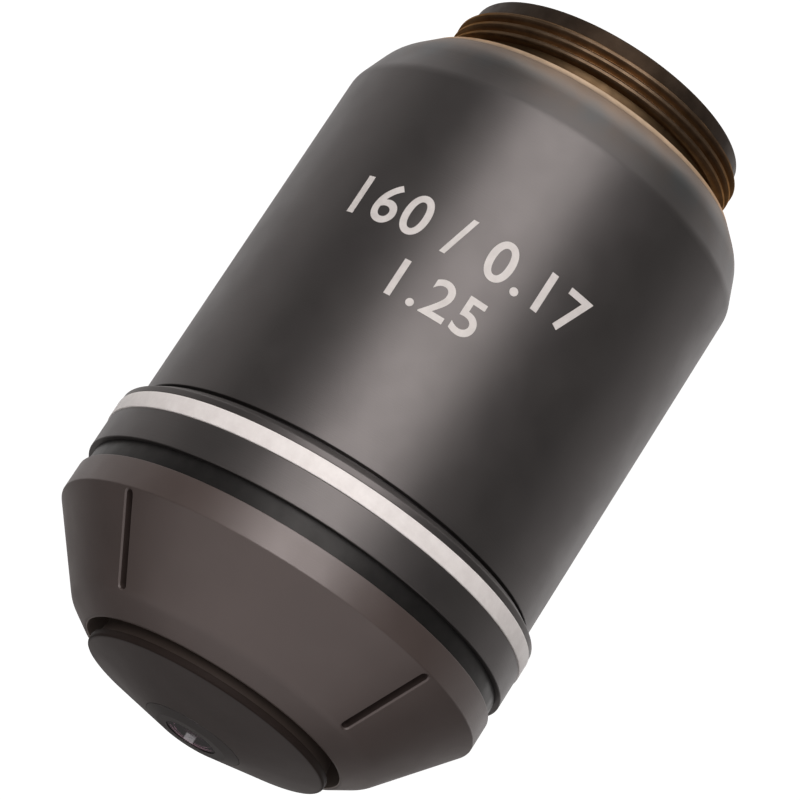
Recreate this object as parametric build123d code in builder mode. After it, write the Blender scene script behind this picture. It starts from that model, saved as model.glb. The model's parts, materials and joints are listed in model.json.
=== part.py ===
"""Oil-immersion microscope objective with a spring-loaded front.

The objective stands nose up on the end of its mounting thread. Millimetres, +Z towards the nose,
origin at the centre of the thread's end face. Everything turned is a section in radius and height.
"""

from build123d import *
from math import copysign, hypot, sqrt
import os

# Mounting thread and shoulder
thread_major_d = 20.26
thread_pitch = 0.7056
thread_depth = 0.43
thread_crest = 0.10
thread_ridges = 3
flank_run = 0.224
relief_length = 1.30
relief_drop = 0.68
undercut_margin = 0.22
undercut_depth = 0.10
lead_length = 0.93
lead_drop = 0.53
lead_chamfer = 0.15
lead_wall = 1.50

# Shoulder cone and body
shoulder_lip = 0.21
shoulder_edge = 0.08
rim_height = 0.50
shoulder_cone_run = 1.50
shoulder_cone_height = 1.66
body_chamfer_height = 2.55
body_length = 24.54
seam_width = 0.30
seam_depth = 0.50
edge_break = 0.06

# Rings between body and nose
flange_step = 0.85
flange_chamfer_width = 0.65
flange_chamfer_height = 0.45
flange_height = 0.88
white_ring_width = 1.15
white_ring_proud = 0.06
white_ring_thickness = 0.86
carrier_ring_width = 2.16
immersion_ring_width = 1.27
immersion_ring_drop = 0.35
immersion_ring_thickness = 0.95

# Nose cone
band_drop = 0.06
band_width = 1.84
cone_height = 4.97
nose_chamfer_height = 1.05
nose_chamfer_width = 1.56
nose_rim_width = 0.20
ledge_width = 1.05
slot_width = 0.56
slot_depth = 0.80
slot_margin = 0.18
slot_count = 4
slot_azimuth = 45.0

# Walls and seats of the fixed tubes
guide_tube_wall = 1.20
mount_tube_end_gap = 0.55
spring_seat_depth = 3.60
sleeve_gap = 1.20
sleeve_wall = 1.45
sleeve_neck_height = 4.00
carrier_skirt_length = 3.75
spigot_wall = 2.00
spigot_length = 1.70
seat_clearance = 0.02

# Rear baffle ring
baffle_height = 1.60
baffle_depth = 3.15
baffle_width = 2.08
baffle_notch_width = 1.40
baffle_notch_depth = 0.50

# Moving lens barrel and nose cap
travel = 2.00
guide_clearance = 0.04
barrel_wall = 2.96
neck_wall = 0.70
neck_length = 4.96
shim_height = 0.20
shim_gap = 0.10
cap_rise = 2.48
tip_flat_r = 2.43
cap_gap = 0.58
cap_cone_drop = 1.62
cap_edge_radius = 0.25
cap_brim_height = 0.43
cap_relief_depth = 0.47
cap_relief_height = 2.40
cap_skirt_gap = 0.55
cap_hole_r = 3.30
cap_face_depth = 2.55

# Return spring, washer and guide screws
spring_length = 6.00
spring_wire_d = 0.80
spring_gap = 0.55
spring_turns = 3.25
washer_height = 0.40
washer_gap = 0.30
washer_width = 1.20
screw_d = 1.60
screw_reach = 0.80
screw_height = 15.65
screw_slot_width = 0.30
screw_slot_depth = 0.40
keyway_side_gap = 0.06
keyway_end_gap = 0.25
keyway_depth = 1.10

# Lens cells and their burnished lips
cell_wall = 1.98
cell_clearance = 0.02
glass_clearance = 0.01
land = 0.40
lip_clearance = 0.05
rear_lip = 0.30
stop_thickness = 0.25
stop_aperture_r = 2.90
stop_guard = 0.30
lock_ring_height = 1.70
lock_ring_recess = 0.20
lock_ring_aperture_r = 5.00
lock_notch_width = 1.20
lock_notch_depth = 0.70

# Glass: radii of the surfaces from the nose down, positive where the centre lies below the surface,
# thickness of each element on the axis, and air gap below each group
front_ball_r = 1.85
front_lens_thickness = 2.55
front_lens_recess = 0.05
front_air = 0.15
meniscus_edge_r = 2.60
meniscus_radii = (-3.40, -2.90)
meniscus_thickness = 1.80
meniscus_air = 0.15
positive_edge_r = 3.90
positive_radii = (-14.0, -5.60)
positive_thickness = 2.60
positive_air = 0.40
doublet_edge_r = 4.80
doublet_radii = (30.0, 7.00, -9.00)
doublet_flint_thickness = 0.90
doublet_crown_thickness = 3.90
doublet_air = 0.60
triplet_edge_r = 5.00
triplet_radii = (11.0, 6.80, -7.50, 25.0)
triplet_front_flint_thickness = 0.90
triplet_fluorite_thickness = 4.60
triplet_rear_flint_thickness = 1.00
rear_edge_r = 4.20
rear_radii = (7.50, 20.0, 5.20)
rear_crown_thickness = 2.00
rear_flint_thickness = 1.20

# Radii worked out from the widest lens outwards: cell, lens barrel, guide tube, sleeve and rings
cell_r = triplet_edge_r + cell_wall
barrel_bore_r = cell_r + cell_clearance
neck_r = barrel_bore_r + neck_wall
barrel_r = barrel_bore_r + barrel_wall
guide_bore_r = barrel_r + guide_clearance
mount_tube_r = guide_bore_r + guide_tube_wall
sleeve_bore_r = mount_tube_r + sleeve_gap
body_r = sleeve_bore_r + sleeve_wall
seam_r = body_r - seam_depth
flange_r = body_r + flange_step
flange_chamfer_r = flange_r - flange_chamfer_width
white_ring_r = flange_r + white_ring_proud
white_seat_r = white_ring_r - white_ring_thickness
immersion_ring_r = flange_r - immersion_ring_drop
immersion_seat_r = immersion_ring_r - immersion_ring_thickness
band_r = flange_r - band_drop
spigot_r = guide_bore_r + spigot_wall
nose_bore_r = guide_bore_r - ledge_width
nose_rim_r = nose_bore_r + nose_rim_width
cone_end_r = nose_rim_r + nose_chamfer_width
shim_inner_r = nose_bore_r + shim_gap
shim_outer_r = guide_bore_r - shim_gap
cap_r = nose_bore_r - cap_gap
cap_skirt_r = nose_bore_r - cap_skirt_gap
cap_relief_r = cap_r - cap_relief_depth
spring_mean_r = guide_bore_r - spring_gap - spring_wire_d / 2
washer_outer_r = guide_bore_r - washer_gap
washer_inner_r = washer_outer_r - washer_width
screw_tip_r = guide_bore_r - screw_reach

# Radii of the thread end and the shoulder
thread_r = thread_major_d / 2
thread_root_r = thread_r - thread_depth
lead_r = thread_r - lead_drop
rear_bore_r = lead_r - lead_wall
baffle_r = rear_bore_r - seat_clearance
baffle_aperture_r = baffle_r - baffle_width
relief_r = thread_r - relief_drop
undercut_r = thread_r + undercut_margin
shoulder_r = mount_tube_r + shoulder_lip
shoulder_cone_r = shoulder_r + shoulder_cone_run

# Heights worked out from the sizes above, upwards from the end of the thread
thread_start_z = lead_length
thread_end_z = thread_start_z + thread_ridges * thread_pitch
shoulder_z = thread_end_z + relief_length
rim_z = shoulder_z + rim_height
rim_r = shoulder_r + (shoulder_cone_r - shoulder_r) * rim_height / shoulder_cone_height
shoulder_cone_z = shoulder_z + shoulder_cone_height
body_start_z = shoulder_cone_z + body_chamfer_height
body_end_z = body_start_z + body_length
flange_z = body_end_z + seam_width
white_start_z = flange_z + flange_height
white_end_z = white_start_z + white_ring_width
carrier_end_z = white_end_z + carrier_ring_width
band_start_z = carrier_end_z + immersion_ring_width
band_end_z = band_start_z + band_width
cone_end_z = band_end_z + cone_height
nose_rim_z = cone_end_z + nose_chamfer_height
tip_z = nose_rim_z + cap_rise

# Heights inside
ledge_z = carrier_end_z
spigot_z = ledge_z - spigot_length
mount_tube_z = body_end_z - mount_tube_end_gap
carrier_skirt_z = body_end_z - carrier_skirt_length
spring_z = shoulder_z + spring_seat_depth
washer_z = spring_z + spring_length
barrel_rear_z = washer_z + washer_height
barrel_shoulder_z = ledge_z - shim_height
neck_z = barrel_shoulder_z + neck_length
cap_edge_z = tip_z - cap_cone_drop
cap_brim_z = cap_edge_z - cap_brim_height
cap_skirt_z = cap_brim_z - cap_relief_height
cap_face_z = tip_z - cap_face_depth
screw_z = shoulder_z + screw_height


def sag(radius, r):
    """Drop of a spherical surface from its vertex to the radius r."""
    return radius - copysign(sqrt(radius**2 - r**2), radius)


def seat_height(vertex_z, radius, edge_r):
    """Height of the flat ground seat inside the edge of a lens surface."""
    return vertex_z - sag(radius, edge_r - land)


def save(piece, name):
    """Labels a finished piece and writes it."""
    piece.part.label = name
    export_step(piece.part, f"parts/{name}.step")


def turn(*corners):
    """Turns the open piece from the corners of its section, as (radius, height)."""
    with BuildSketch(Plane.XZ) as section:
        with BuildLine():
            Polyline(*corners, close=True)
        make_face()
    revolve(section.sketch, axis=Axis.Z)


def turn_ring(inner_r, outer_r, low_z, high_z):
    """Turns a plain ring in the open piece."""
    turn((inner_r, low_z), (outer_r, low_z), (outer_r, high_z), (inner_r, high_z))


def turn_notched_ring(inner_r, outer_r, low_z, high_z, notch_width, notch_depth):
    """Turns a ring in the open piece and mills a pair of spanner notches across its rear face."""
    turn_ring(inner_r, outer_r, low_z, high_z)
    with Locations((0, 0, low_z + notch_depth / 2)):
        Box(2 * outer_r, notch_width, notch_depth, mode=Mode.SUBTRACT)


def turn_cell(edge_r, front_seat_z, rear_seat_z, front_z, rear_z):
    """Turns a lens cell in the open piece: its bore holds the glass between two lips."""
    lip_r = edge_r - land + lip_clearance
    bore_r = edge_r + glass_clearance
    turn(
        (lip_r, front_z),
        (cell_r, front_z),
        (cell_r, rear_z),
        (lip_r, rear_z),
        (lip_r, rear_seat_z),
        (bore_r, rear_seat_z),
        (bore_r, front_seat_z),
        (lip_r, front_seat_z),
    )


def grind(edge_r, radii, front_z, thickness, front_seat=False, rear_seat=False):
    """Makes a lens in the open piece, front vertex at front_z. A seat is the flat ring ground
    inside the edge of a surface that touches air."""
    rear_z = front_z - thickness
    front_r = edge_r - land if front_seat else edge_r
    rear_r = edge_r - land if rear_seat else edge_r
    front_edge_z = front_z - sag(radii[0], front_r)
    rear_edge_z = rear_z - sag(radii[1], rear_r)
    front_half_z = front_z - sag(radii[0], front_r / 2)
    rear_half_z = rear_z - sag(radii[1], rear_r / 2)
    with BuildSketch(Plane.XZ) as section:
        with BuildLine():
            ThreePointArc((0, front_z), (front_r / 2, front_half_z), (front_r, front_edge_z))
            if front_seat:
                Line((front_r, front_edge_z), (edge_r, front_edge_z))
            Line((edge_r, front_edge_z), (edge_r, rear_edge_z))
            if rear_seat:
                Line((edge_r, rear_edge_z), (rear_r, rear_edge_z))
            ThreePointArc((rear_r, rear_edge_z), (rear_r / 2, rear_half_z), (0, rear_z))
            Line((0, rear_z), (0, front_z))
        make_face()
    revolve(section.sketch, axis=Axis.Z)


def break_edges(r, low_z, high_z):
    """Chamfers the open piece's sharp circles of radius r between two heights."""
    circles = edges().filter_by(GeomType.CIRCLE).filter_by_position(Axis.Z, low_z, high_z)
    chamfer(circles.filter_by(lambda edge: abs(edge.radius - r) < edge_break), edge_break)


os.makedirs("parts", exist_ok=True)

# Mount barrel: thread, relief, shoulder rim and the long guide tube, one brass turning
ridge_half = thread_crest / 2 + flank_run
thread_outline = []
for i in range(thread_ridges):
    ridge_z = thread_start_z + (i + 0.5) * thread_pitch
    thread_outline += [
        (thread_root_r, ridge_z - ridge_half),
        (thread_r, ridge_z - thread_crest / 2),
        (thread_r, ridge_z + thread_crest / 2),
        (thread_root_r, ridge_z + ridge_half),
    ]
with BuildPart() as mount_barrel:
    turn(
        (rear_bore_r, 0),
        (lead_r - lead_chamfer, 0),
        (lead_r, lead_chamfer),
        (lead_r, thread_start_z),
        (thread_root_r, thread_start_z),
        *thread_outline,
        (thread_root_r, thread_end_z),
        (relief_r, thread_end_z),
        (relief_r, shoulder_z + undercut_depth),
        (undercut_r, shoulder_z + undercut_depth),
        (undercut_r, shoulder_z),
        (shoulder_r - shoulder_edge, shoulder_z),
        (shoulder_r, shoulder_z + shoulder_edge),
        (rim_r, rim_z),
        (mount_tube_r, rim_z),
        (mount_tube_r, mount_tube_z),
        (guide_bore_r, mount_tube_z),
        (guide_bore_r, spring_z),
        (rear_bore_r, spring_z),
    )
    with Locations((0, 0, screw_z)):
        Cylinder(screw_d / 2 + seat_clearance, 4 * mount_tube_r, rotation=(0, 90, 0), mode=Mode.SUBTRACT)
save(mount_barrel, "mount_barrel")

with BuildPart() as rear_baffle_ring:
    turn_notched_ring(
        baffle_aperture_r,
        baffle_r,
        baffle_depth,
        baffle_depth + baffle_height,
        baffle_notch_width,
        baffle_notch_depth,
    )
save(rear_baffle_ring, "rear_baffle_ring")

# Body sleeve: two cones above the shoulder, then the plain cylinder that carries the print
sleeve_neck_r = mount_tube_r + seat_clearance
with BuildPart() as body_sleeve:
    turn(
        (sleeve_neck_r, rim_z),
        (rim_r, rim_z),
        (shoulder_cone_r, shoulder_cone_z),
        (body_r, body_start_z),
        (body_r, body_end_z),
        (sleeve_bore_r, body_end_z),
        (sleeve_bore_r, rim_z + sleeve_neck_height),
        (sleeve_neck_r, rim_z + sleeve_neck_height),
    )
    break_edges(body_r, body_end_z, body_end_z)
save(body_sleeve, "body_sleeve")

# Nose carrier: skirt inside the sleeve, flange, groove for the white ring, then the plain ring
carrier_skirt_r = sleeve_bore_r - seat_clearance
carrier_bore_r = mount_tube_r + seat_clearance
spigot_bore_r = spigot_r + seat_clearance
with BuildPart() as nose_carrier:
    turn(
        (carrier_bore_r, carrier_skirt_z),
        (carrier_skirt_r, carrier_skirt_z),
        (carrier_skirt_r, body_end_z),
        (seam_r, body_end_z),
        (seam_r, flange_z),
        (flange_chamfer_r, flange_z),
        (flange_r, flange_z + flange_chamfer_height),
        (flange_r, white_start_z),
        (white_seat_r, white_start_z),
        (white_seat_r, white_end_z),
        (flange_r, white_end_z),
        (flange_r, carrier_end_z),
        (spigot_bore_r, carrier_end_z),
        (spigot_bore_r, spigot_z),
        (guide_bore_r, spigot_z),
        (guide_bore_r, mount_tube_z),
        (carrier_bore_r, mount_tube_z),
    )
    break_edges(flange_r, white_start_z, carrier_end_z)
save(nose_carrier, "nose_carrier")

# Colour code rings: white for the magnification, black for oil immersion
with BuildPart() as white_code_ring:
    turn_ring(white_seat_r, white_ring_r, white_start_z, white_end_z)
    break_edges(white_ring_r, white_start_z, white_end_z)
save(white_code_ring, "white_code_ring")

with BuildPart() as immersion_code_ring:
    turn_ring(immersion_seat_r, immersion_ring_r, carrier_end_z, band_start_z)
save(immersion_code_ring, "immersion_code_ring")

# Nose cone: spigot, neck for the black ring, band, cone and rim, with four spanner slots
cone_length = hypot(band_r - cone_end_r, cone_height)
slot_planes = []
for i in range(slot_count):
    outward = Vector(1, 0, 0).rotate(Axis.Z, slot_azimuth + i * 360 / slot_count)
    along = Vector(0, 0, cone_height) - outward * (band_r - cone_end_r)
    normal = outward * cone_height + Vector(0, 0, band_r - cone_end_r)
    middle = outward * (band_r + cone_end_r) / 2 + Vector(0, 0, (band_end_z + cone_end_z) / 2)
    slot_planes.append(Plane(origin=middle, x_dir=along, z_dir=normal))
with BuildPart() as nose_cone:
    turn(
        (guide_bore_r, spigot_z),
        (spigot_r, spigot_z),
        (spigot_r, carrier_end_z),
        (immersion_seat_r, carrier_end_z),
        (immersion_seat_r, band_start_z),
        (band_r, band_start_z),
        (band_r, band_end_z),
        (cone_end_r, cone_end_z),
        (nose_rim_r, nose_rim_z),
        (nose_bore_r, nose_rim_z),
        (nose_bore_r, ledge_z),
        (guide_bore_r, ledge_z),
    )
    break_edges(band_r, band_start_z, band_start_z)
    with BuildSketch(*slot_planes):
        SlotOverall(cone_length - 2 * slot_margin, slot_width)
    extrude(amount=-slot_depth, mode=Mode.SUBTRACT)
save(nose_cone, "nose_cone")

# Parfocal shim: sets how far the lens barrel comes forward against the nose cone's ledge
with BuildPart() as parfocal_shim:
    turn_ring(shim_inner_r, shim_outer_r, barrel_shoulder_z, ledge_z)
save(parfocal_shim, "parfocal_shim")

# Guide screws: two headless screws that ride in the lens barrel's keyways
with BuildPart() as guide_screws:
    for side in (Plane.YZ, -Plane.YZ):
        with BuildSketch(side.offset(screw_tip_r)):
            with Locations(side.to_local_coords(Vector(0, 0, screw_z))):
                Circle(screw_d / 2)
        extrude(amount=mount_tube_r - screw_tip_r)
        with BuildSketch(side.offset(mount_tube_r)):
            with Locations(side.to_local_coords(Vector(0, 0, screw_z))):
                Rectangle(2 * screw_d, screw_slot_width)
        extrude(amount=-screw_slot_depth, mode=Mode.SUBTRACT)
save(guide_screws, "guide_screws")

# Return spring between the mount barrel's seat and the washer
coil_rise = spring_length - spring_wire_d
coil_base = (0, 0, spring_z + spring_wire_d / 2)
with BuildPart() as return_spring:
    with BuildLine() as coil:
        Helix(coil_rise / spring_turns, coil_rise, spring_mean_r, center=coil_base)
    with BuildSketch(Plane(origin=coil.line @ 0, z_dir=coil.line % 0)):
        Circle(spring_wire_d / 2)
    sweep(path=coil.line, is_frenet=True)
save(return_spring, "return_spring")

with BuildPart() as spring_washer:
    turn_ring(washer_inner_r, washer_outer_r, washer_z, barrel_rear_z)
save(spring_washer, "spring_washer")

# Lens barrel: guided tube with a neck for the nose cap and a keyway on each side
keyway_width = screw_d + 2 * keyway_side_gap
keyway_length = screw_d + travel + 2 * keyway_end_gap
keyway_z = screw_z - screw_d / 2 - keyway_end_gap + keyway_length / 2
with BuildPart() as lens_barrel:
    turn(
        (barrel_bore_r, barrel_rear_z),
        (barrel_r, barrel_rear_z),
        (barrel_r, barrel_shoulder_z),
        (neck_r, barrel_shoulder_z),
        (neck_r, neck_z),
        (barrel_bore_r, neck_z),
    )
    for side in (Plane.YZ, -Plane.YZ):
        with BuildSketch(side.offset(barrel_r - keyway_depth)):
            with Locations(side.to_local_coords(Vector(0, 0, keyway_z))):
                SlotOverall(keyway_length, keyway_width, rotation=90)
        extrude(amount=2 * keyway_depth, mode=Mode.SUBTRACT)
save(lens_barrel, "lens_barrel")

# Nose cap: the blunt cone at the tip, with a brim over a dark relief
cap_slope = cap_cone_drop / (cap_r - tip_flat_r)
cap_hole_z = tip_z - (cap_hole_r - tip_flat_r) * cap_slope
with BuildPart() as nose_cap:
    turn(
        (cap_hole_r, cap_hole_z),
        (cap_r, cap_edge_z),
        (cap_r, cap_brim_z),
        (cap_relief_r, cap_brim_z),
        (cap_relief_r, cap_skirt_z),
        (cap_skirt_r, cap_skirt_z),
        (cap_skirt_r, barrel_shoulder_z),
        (neck_r + seat_clearance, barrel_shoulder_z),
        (neck_r + seat_clearance, neck_z),
        (barrel_bore_r, neck_z),
        (barrel_bore_r, cap_face_z),
        (cap_hole_r, cap_face_z),
    )
    brim_edges = edges().filter_by(GeomType.CIRCLE).filter_by_position(Axis.Z, cap_edge_z, cap_edge_z)
    fillet(brim_edges, cap_edge_radius)
save(nose_cap, "nose_cap")

# Front lens: more than half a ball, with its flat face at the tip
front_face_z = tip_z - front_lens_recess
front_rear_z = front_face_z - front_lens_thickness
ball_z = front_rear_z + front_ball_r
front_face_r = sqrt(front_ball_r**2 - (front_face_z - ball_z) ** 2)
with BuildPart() as front_lens:
    with BuildSketch(Plane.XZ):
        with BuildLine():
            Line((0, front_rear_z), (0, front_face_z))
            Line((0, front_face_z), (front_face_r, front_face_z))
            ThreePointArc((front_face_r, front_face_z), (front_ball_r, ball_z), (0, front_rear_z))
        make_face()
    revolve(axis=Axis.Z)
save(front_lens, "front_lens")

# Front cell: a hat that holds the front lens at the tip and the meniscus right behind it
meniscus_z = front_rear_z - front_air
meniscus_rear_z = meniscus_z - meniscus_thickness
meniscus_front_seat_z = seat_height(meniscus_z, meniscus_radii[0], meniscus_edge_r)
meniscus_rear_seat_z = seat_height(meniscus_rear_z, meniscus_radii[1], meniscus_edge_r)
meniscus_bore_r = meniscus_edge_r + glass_clearance
meniscus_lip_r = meniscus_edge_r - land + lip_clearance
front_cell_rear_z = meniscus_rear_seat_z - rear_lip
seat_ball_r = front_ball_r + glass_clearance
seat_mouth_r = front_face_r + glass_clearance
seat_mouth_z = ball_z + sqrt(seat_ball_r**2 - seat_mouth_r**2)
seat_mid_z = (seat_mouth_z + ball_z) / 2
seat_mid_r = sqrt(seat_ball_r**2 - (seat_mid_z - ball_z) ** 2)
front_hat_r = cap_hole_r - seat_clearance
front_hat_z = tip_z - (front_hat_r - tip_flat_r) * cap_slope
with BuildPart() as front_lens_cell:
    with BuildSketch(Plane.XZ):
        with BuildLine():
            Polyline(
                (seat_ball_r, ball_z),
                (seat_ball_r, meniscus_front_seat_z),
                (meniscus_bore_r, meniscus_front_seat_z),
                (meniscus_bore_r, meniscus_rear_seat_z),
                (meniscus_lip_r, meniscus_rear_seat_z),
                (meniscus_lip_r, front_cell_rear_z),
                (cell_r, front_cell_rear_z),
                (cell_r, cap_face_z),
                (front_hat_r, cap_face_z),
                (front_hat_r, front_hat_z),
                (tip_flat_r, tip_z),
                (seat_mouth_r, tip_z),
                (seat_mouth_r, seat_mouth_z),
            )
            ThreePointArc((seat_mouth_r, seat_mouth_z), (seat_mid_r, seat_mid_z), (seat_ball_r, ball_z))
        make_face()
    revolve(axis=Axis.Z)
save(front_lens_cell, "front_lens_cell")

with BuildPart() as meniscus_lens:
    grind(meniscus_edge_r, meniscus_radii, meniscus_z, meniscus_thickness, front_seat=True, rear_seat=True)
save(meniscus_lens, "meniscus_lens")

# Heights of the three groups behind the front cell, and of the faces where their cells meet
positive_z = meniscus_rear_z - meniscus_air
positive_rear_z = positive_z - positive_thickness
positive_front_seat_z = seat_height(positive_z, positive_radii[0], positive_edge_r)
positive_rear_seat_z = seat_height(positive_rear_z, positive_radii[1], positive_edge_r)
doublet_z = positive_rear_z - positive_air
doublet_joint_z = doublet_z - doublet_flint_thickness
doublet_rear_z = doublet_joint_z - doublet_crown_thickness
doublet_front_seat_z = seat_height(doublet_z, doublet_radii[0], doublet_edge_r)
doublet_rear_seat_z = seat_height(doublet_rear_z, doublet_radii[2], doublet_edge_r)
triplet_z = doublet_rear_z - doublet_air
triplet_front_joint_z = triplet_z - triplet_front_flint_thickness
triplet_rear_joint_z = triplet_front_joint_z - triplet_fluorite_thickness
triplet_rear_z = triplet_rear_joint_z - triplet_rear_flint_thickness
triplet_front_seat_z = seat_height(triplet_z, triplet_radii[0], triplet_edge_r)
triplet_rear_seat_z = seat_height(triplet_rear_z, triplet_radii[3], triplet_edge_r)
positive_cell_rear_z = (positive_rear_seat_z + doublet_front_seat_z) / 2
doublet_cell_rear_z = (doublet_rear_seat_z + triplet_front_seat_z) / 2
triplet_cell_rear_z = triplet_rear_seat_z - rear_lip

# Positive lens in its cell
with BuildPart() as positive_lens:
    grind(positive_edge_r, positive_radii, positive_z, positive_thickness, front_seat=True, rear_seat=True)
save(positive_lens, "positive_lens")

with BuildPart() as positive_cell:
    turn_cell(
        positive_edge_r,
        positive_front_seat_z,
        positive_rear_seat_z,
        front_cell_rear_z,
        positive_cell_rear_z,
    )
save(positive_cell, "positive_cell")

# Cemented doublet in its cell
with BuildPart() as doublet_flint:
    grind(doublet_edge_r, doublet_radii[:2], doublet_z, doublet_flint_thickness, front_seat=True)
save(doublet_flint, "doublet_flint")

with BuildPart() as doublet_crown:
    grind(doublet_edge_r, doublet_radii[1:], doublet_joint_z, doublet_crown_thickness, rear_seat=True)
save(doublet_crown, "doublet_crown")

with BuildPart() as doublet_cell:
    turn_cell(
        doublet_edge_r,
        doublet_front_seat_z,
        doublet_rear_seat_z,
        positive_cell_rear_z,
        doublet_cell_rear_z,
    )
save(doublet_cell, "doublet_cell")

# Cemented triplet in its cell
with BuildPart() as triplet_front_flint:
    grind(triplet_edge_r, triplet_radii[:2], triplet_z, triplet_front_flint_thickness, front_seat=True)
save(triplet_front_flint, "triplet_front_flint")

with BuildPart() as triplet_fluorite:
    grind(triplet_edge_r, triplet_radii[1:3], triplet_front_joint_z, triplet_fluorite_thickness)
save(triplet_fluorite, "triplet_fluorite")

with BuildPart() as triplet_rear_flint:
    grind(
        triplet_edge_r,
        triplet_radii[2:],
        triplet_rear_joint_z,
        triplet_rear_flint_thickness,
        rear_seat=True,
    )
save(triplet_rear_flint, "triplet_rear_flint")

with BuildPart() as triplet_cell:
    turn_cell(
        triplet_edge_r,
        triplet_front_seat_z,
        triplet_rear_seat_z,
        doublet_cell_rear_z,
        triplet_cell_rear_z,
    )
save(triplet_cell, "triplet_cell")

# Lock ring that clamps the whole stack from the rear
lock_ring_z = barrel_rear_z + lock_ring_recess
rear_cell_rear_z = lock_ring_z + lock_ring_height
with BuildPart() as stack_lock_ring:
    turn_notched_ring(
        lock_ring_aperture_r,
        cell_r,
        lock_ring_z,
        rear_cell_rear_z,
        lock_notch_width,
        lock_notch_depth,
    )
save(stack_lock_ring, "stack_lock_ring")

# Rear group in its cell, built upwards from the lock ring
rear_seat_z = rear_cell_rear_z + rear_lip
rear_vertex_z = rear_seat_z + sag(rear_radii[2], rear_edge_r - land)
rear_joint_z = rear_vertex_z + rear_flint_thickness
rear_front_z = rear_joint_z + rear_crown_thickness
rear_front_seat_z = seat_height(rear_front_z, rear_radii[0], rear_edge_r)
rear_cell_front_z = rear_front_z + stop_guard
with BuildPart() as rear_crown:
    grind(rear_edge_r, rear_radii[:2], rear_front_z, rear_crown_thickness, front_seat=True)
save(rear_crown, "rear_crown")

with BuildPart() as rear_flint:
    grind(rear_edge_r, rear_radii[1:], rear_joint_z, rear_flint_thickness, rear_seat=True)
save(rear_flint, "rear_flint")

with BuildPart() as rear_cell:
    turn_cell(rear_edge_r, rear_front_seat_z, rear_seat_z, rear_cell_front_z, rear_cell_rear_z)
save(rear_cell, "rear_cell")

# Aperture stop and the spacer tube that fills the air gap above it
stop_front_z = rear_cell_front_z + stop_thickness
with BuildPart() as aperture_stop:
    turn_ring(stop_aperture_r, cell_r, rear_cell_front_z, stop_front_z)
save(aperture_stop, "aperture_stop")

with BuildPart() as spacer_tube:
    turn_ring(triplet_edge_r + land, cell_r, stop_front_z, triplet_cell_rear_z)
save(spacer_tube, "spacer_tube")
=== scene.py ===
import json
import math

import bmesh
import bpy
from mathutils import Matrix, Vector

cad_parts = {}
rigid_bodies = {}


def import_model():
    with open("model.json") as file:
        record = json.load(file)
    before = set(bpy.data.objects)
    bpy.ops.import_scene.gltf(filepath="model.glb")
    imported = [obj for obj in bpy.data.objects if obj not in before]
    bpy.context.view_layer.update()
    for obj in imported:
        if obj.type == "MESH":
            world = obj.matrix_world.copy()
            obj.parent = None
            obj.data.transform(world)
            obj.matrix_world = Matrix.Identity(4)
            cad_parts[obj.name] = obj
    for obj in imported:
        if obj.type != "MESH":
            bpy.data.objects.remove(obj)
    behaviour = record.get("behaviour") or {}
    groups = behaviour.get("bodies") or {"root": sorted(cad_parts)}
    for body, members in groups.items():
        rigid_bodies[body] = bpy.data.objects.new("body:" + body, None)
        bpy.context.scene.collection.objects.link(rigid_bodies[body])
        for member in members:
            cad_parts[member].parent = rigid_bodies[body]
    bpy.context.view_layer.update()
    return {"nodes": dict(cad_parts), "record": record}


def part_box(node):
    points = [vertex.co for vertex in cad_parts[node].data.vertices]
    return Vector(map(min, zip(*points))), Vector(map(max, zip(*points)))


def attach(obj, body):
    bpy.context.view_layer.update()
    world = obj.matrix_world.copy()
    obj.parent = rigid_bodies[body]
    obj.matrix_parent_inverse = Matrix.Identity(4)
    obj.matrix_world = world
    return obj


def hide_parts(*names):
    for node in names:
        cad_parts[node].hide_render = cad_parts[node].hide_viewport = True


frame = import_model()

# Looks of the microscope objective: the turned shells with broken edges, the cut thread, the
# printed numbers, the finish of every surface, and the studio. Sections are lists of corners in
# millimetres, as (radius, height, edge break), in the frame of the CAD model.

MM = 0.001

# Camera of the photograph
IMAGE_SIZE = 800
SENSOR_WIDTH = 36.0
FOCAL_LENGTH_PX = 4297
CAMERA_DISTANCE = 265.05
CAMERA_AIM_Z = 24.23
CAMERA_SIDE_SHIFT = 0.482
CAMERA_ELEVATION = math.radians(17.43)
CAMERA_AZIMUTH = math.radians(-3.75)
CAMERA_ROLL = math.radians(33.0)
TOWARD_CAMERA = math.radians(270) + CAMERA_AZIMUTH

# The floor lies well below the part, which hangs free in the photograph
FLOOR_SIZE = 12
FLOOR_Z = -0.6

# Soft lamps as (name, azimuth, elevation, width and height, brightness, colour). The two back
# boxes leave a gap that the front lens mirrors, and a tiny lamp stands in it.
LAMP_DISTANCE = 0.40
ROOM_COLOUR = (1.0, 0.97, 0.95)
ROOM_BRIGHTNESS = 0.10
LAMPS = [
    ("front_box", 7, -20, (0.33, 0.50), 3.1, (1.0, 0.94, 0.91)),
    ("under_box", 0, -92, (0.30, 0.38), 1.9, (1.0, 0.95, 0.90)),
    ("top_box", 0, 68, (0.90, 0.70), 0.52, (1.0, 0.92, 0.89)),
    ("back_box", 159, 12, (0.27, 0.20), 0.32, (1.0, 0.94, 0.91)),
    ("back_box_beside", 201, 12, (0.27, 0.20), 0.32, (1.0, 0.94, 0.91)),
    ("lens_glint", 180.1, 15.6, (0.0016, 0.0012), 0.55, (1.0, 0.97, 1.0)),
    ("left_box", 110, -20, (0.30, 0.50), 0.42, (1.0, 0.94, 0.91)),
    ("right_box", -112, -20, (0.30, 0.50), 0.36, (1.0, 0.94, 0.91)),
    ("back_left", 155, -30, (0.35, 0.40), 0.7, (1.0, 0.97, 0.96)),
    ("back_right", -155, -30, (0.35, 0.40), 0.9, (1.0, 0.97, 0.96)),
]

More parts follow.
